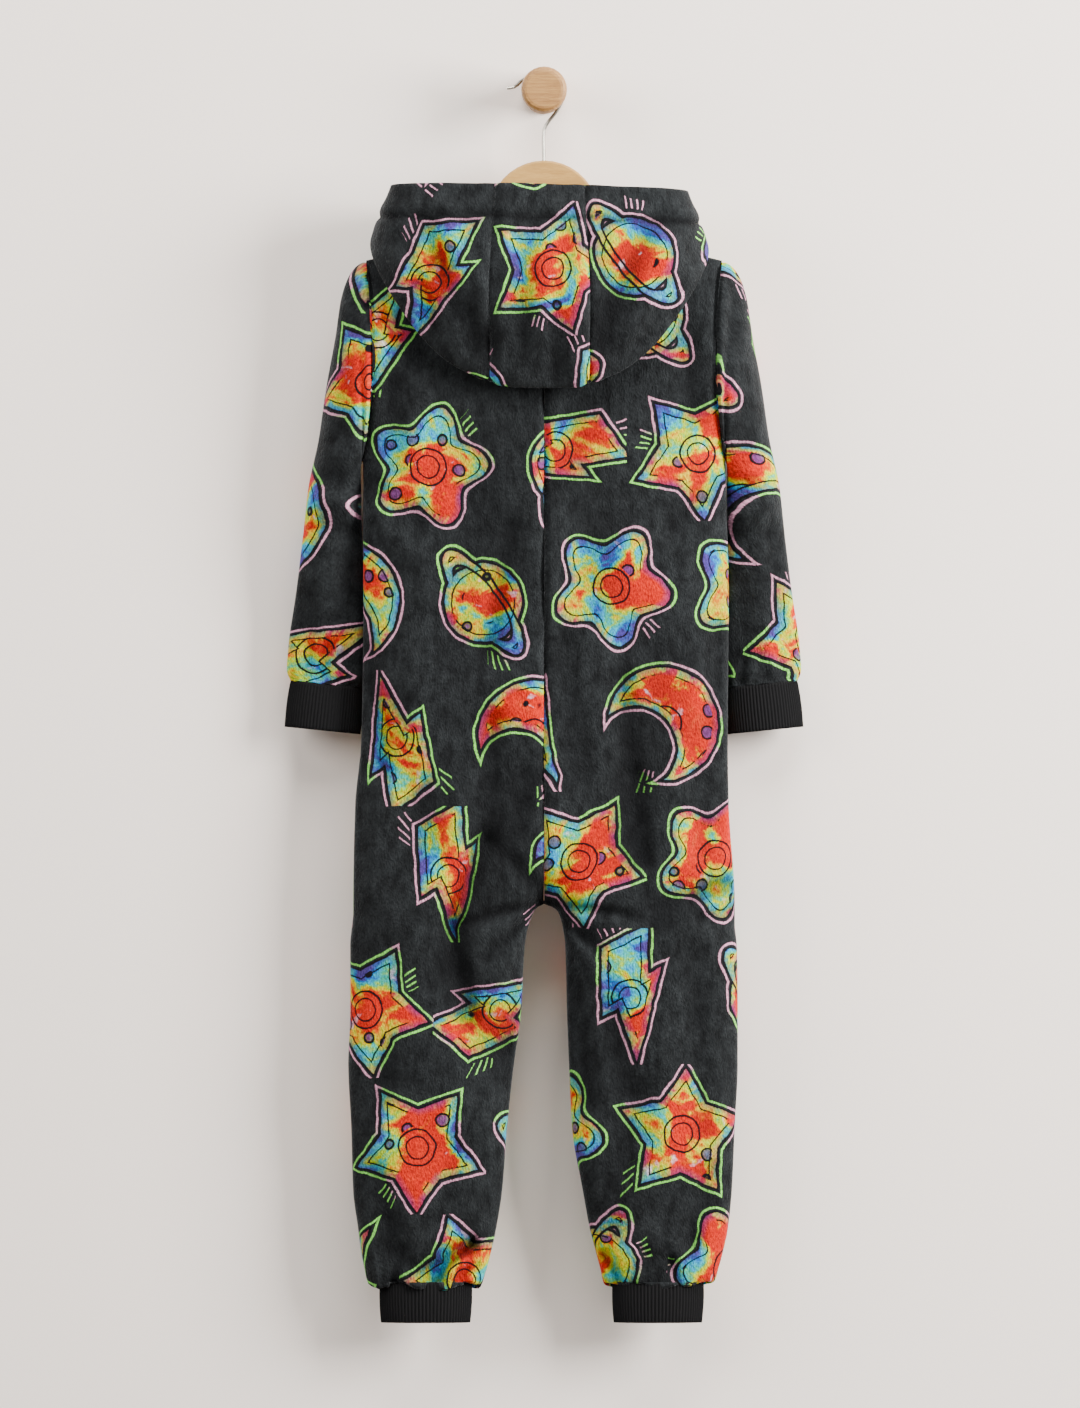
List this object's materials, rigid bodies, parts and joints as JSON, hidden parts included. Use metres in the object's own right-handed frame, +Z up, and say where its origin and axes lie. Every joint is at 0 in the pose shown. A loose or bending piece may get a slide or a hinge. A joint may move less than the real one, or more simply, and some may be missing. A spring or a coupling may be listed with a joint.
{
  "type": "hooded onesie pajama on a wooden hanger and wall peg",
  "caption": "Child's zip-front hooded fleece onesie with rib cuffs, hung by a wooden hanger and wire hook from a round wall peg.",
  "frame": {"origin": "middle of the wall peg's flat back, on the wall", "axes": "+Z up, +Y into the wall, -X to the wearer's left; the garment's back faces -Y"},
  "size_m": [0.5204, 0.1288, 1.2563],
  "materials": {
    "fleece": "charcoal plush fleece with a printed pattern",
    "rib_knit": "black rib knit",
    "zip_tape": "woven tape with moulded teeth",
    "zip_metal": "satin metal",
    "hanger_wood": "lacquered pale wood",
    "hook_wire": "bright wire",
    "peg_wood": "oiled turned wood"
  },
  "bodies": {
    "garment": {"back_left": "fleece", "back_right": "fleece", "front_left": "fleece", "front_right": "fleece", "sleeve_left": "fleece", "sleeve_right": "fleece", "hood_left": "fleece", "hood_centre": "fleece", "hood_right": "fleece", "cuff_wrist_left": "rib_knit", "cuff_wrist_right": "rib_knit", "cuff_ankle_left": "rib_knit", "cuff_ankle_right": "rib_knit", "zip": "zip_tape", "zip_slider": "zip_metal", "hanger": "hanger_wood", "hanger_hook": "hook_wire", "wall_peg": "peg_wood"},
    "pull": {"zip_pull": "zip_metal"}
  },
  "joints": [
    {"name": "zip_pull_hinge", "type": "hinge", "parent": "garment", "child": "pull", "pos_m": [0, -0.0071, -0.204], "axis": [1, 0, 0], "range_deg": [0, 160]}
  ]
}
